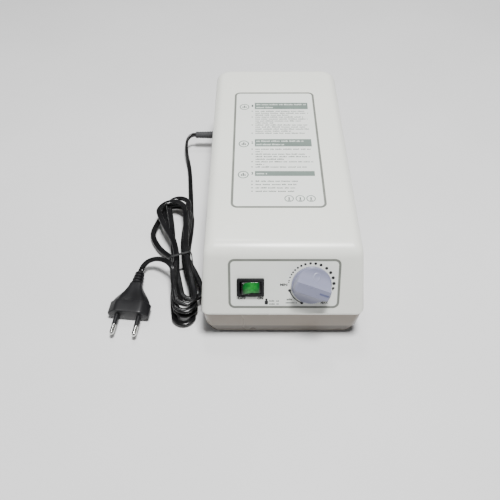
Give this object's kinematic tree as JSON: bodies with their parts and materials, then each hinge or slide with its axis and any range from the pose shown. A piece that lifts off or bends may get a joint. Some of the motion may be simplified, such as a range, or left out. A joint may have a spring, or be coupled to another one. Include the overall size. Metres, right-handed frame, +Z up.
{
  "type": "air mattress pump",
  "caption": "Mains air pump for an alternating-pressure mattress: inset base, sloped front panel with a lit rocker and a pressure knob, rear air outlets, folding bed hooks and a tied cord.",
  "frame": {"origin": "on the table under the middle of the pump, from the knob's front edge to the tips of the air outlets", "axes": "+X to the right seen from the front, +Y to the back, +Z up"},
  "size_m": [0.2095, 0.2935, 0.0821],
  "materials": {
    "shell": "satin",
    "base": "satin",
    "label": "matt",
    "black_rubber": "matt",
    "switch_black": "gloss",
    "lit_green": "gloss",
    "knob": "satin",
    "brass": "satin",
    "steel": "satin",
    "zinc": "satin",
    "white_plastic": "satin",
    "dark_plastic": "satin",
    "iron": "rough",
    "ferrite": "rough",
    "copper": "satin",
    "hose": "satin",
    "motor_can": "satin",
    "cord_black": "gloss",
    "plug_black": "satin",
    "nickel": "gloss"
  },
  "bodies": {
    "housing": {"upper_housing": "shell", "lower_housing": "base", "rubber_feet": "black_rubber", "housing_screws": "zinc", "top_label": "label", "front_label": "label", "switch_body": "switch_black", "switch_terminals": "brass", "regulator_body": "dark_plastic", "regulator_nut": "zinc", "regulator_spring": "steel", "regulator_ball": "steel", "hook_pins": "steel", "outlet_nozzle_left": "white_plastic", "outlet_nozzle_right": "white_plastic", "pump_frame": "dark_plastic", "pump_mounts": "black_rubber", "pump_core": "iron", "coil_bobbin": "white_plastic", "coil_winding": "copper", "arm_pivot_pins": "steel", "diaphragms": "black_rubber", "valve_chamber_left": "white_plastic", "valve_chamber_right": "white_plastic", "flap_valves": "black_rubber", "timer_motor": "motor_can", "motor_bracket": "white_plastic", "motor_screws": "zinc", "port_plate": "white_plastic", "air_cross": "white_plastic", "chamber_hoses": "hose", "valve_hose": "hose", "regulator_hose": "hose", "outlet_hoses": "hose", "terminal_block": "white_plastic", "fuse_holder": "dark_plastic", "cord_clamp": "white_plastic", "inner_cord": "cord_black", "wiring_leads": "dark_plastic", "strain_relief": "black_rubber", "power_cord": "cord_black", "cord_hank": "cord_black", "cord_tail": "cord_black", "cord_tie": "dark_plastic", "plug_body": "plug_black", "plug_sleeves": "plug_black", "plug_pins": "nickel"},
    "rocker": {"switch_rocker": "lit_green"},
    "knob": {"pressure_knob": "knob", "regulator_stem": "brass"},
    "carriage": {"regulator_carriage": "white_plastic"},
    "hook_left": {"bed_hook_left": "base"},
    "hook_right": {"bed_hook_right": "base"},
    "arm_left": {"pump_arm_left": "white_plastic", "arm_magnet_left": "ferrite"},
    "arm_right": {"pump_arm_right": "white_plastic", "arm_magnet_right": "ferrite"},
    "valve_disc": {"motor_shaft": "steel", "valve_rotor": "white_plastic", "rotor_spring": "steel"}
  },
  "joints": [
    {"name": "rocker_tilt", "type": "hinge", "parent": "housing", "child": "rocker", "pos_m": [-0.025, -0.13183, 0.05318], "axis": [0, -0.4695, -0.8829], "range_deg": [0, 20]},
    {"name": "knob_turn", "type": "hinge", "parent": "housing", "child": "knob", "pos_m": [0.0215, -0.13062, 0.05525], "axis": [0, -0.8829, 0.4695], "range_deg": [0, 265]},
    {"name": "carriage_slide", "type": "slide", "parent": "housing", "child": "carriage", "axis": [0, -0.8829, 0.4695], "range_m": [0, 0.0015], "deforming": ["regulator_spring"]},
    {"name": "hook_left_swing", "type": "hinge", "parent": "housing", "child": "hook_left", "pos_m": [-0.046, 0.09855, 0.0066], "axis": [1, 0, 0], "range_deg": [0, 90]},
    {"name": "hook_right_swing", "type": "hinge", "parent": "housing", "child": "hook_right", "pos_m": [0.046, 0.09855, 0.0066], "axis": [1, 0, 0], "range_deg": [0, 90]},
    {"name": "arm_right_swing", "type": "hinge", "parent": "housing", "child": "arm_right", "pos_m": [0.011, 0.01455, 0.038], "axis": [0, 0, 1], "range_deg": [-1.2, 1.2], "stiffness_Nm_per_rad": 2, "deforming": ["diaphragms"]},
    {"name": "arm_left_swing", "type": "hinge", "parent": "housing", "child": "arm_left", "pos_m": [-0.011, 0.01455, 0.038], "axis": [0, 0, 1], "range_deg": [-1.2, 1.2]},
    {"name": "valve_turn", "type": "hinge", "parent": "housing", "child": "valve_disc", "pos_m": [0, 0.08055, 0.044], "axis": [0, 0, 1], "continuous": true}
  ],
  "couplings": [
    {"joint": "carriage_slide", "follows": "knob_turn", "m_per_rad": 0.000324},
    {"joint": "arm_left_swing", "follows": "arm_right_swing", "ratio": -1}
  ]
}
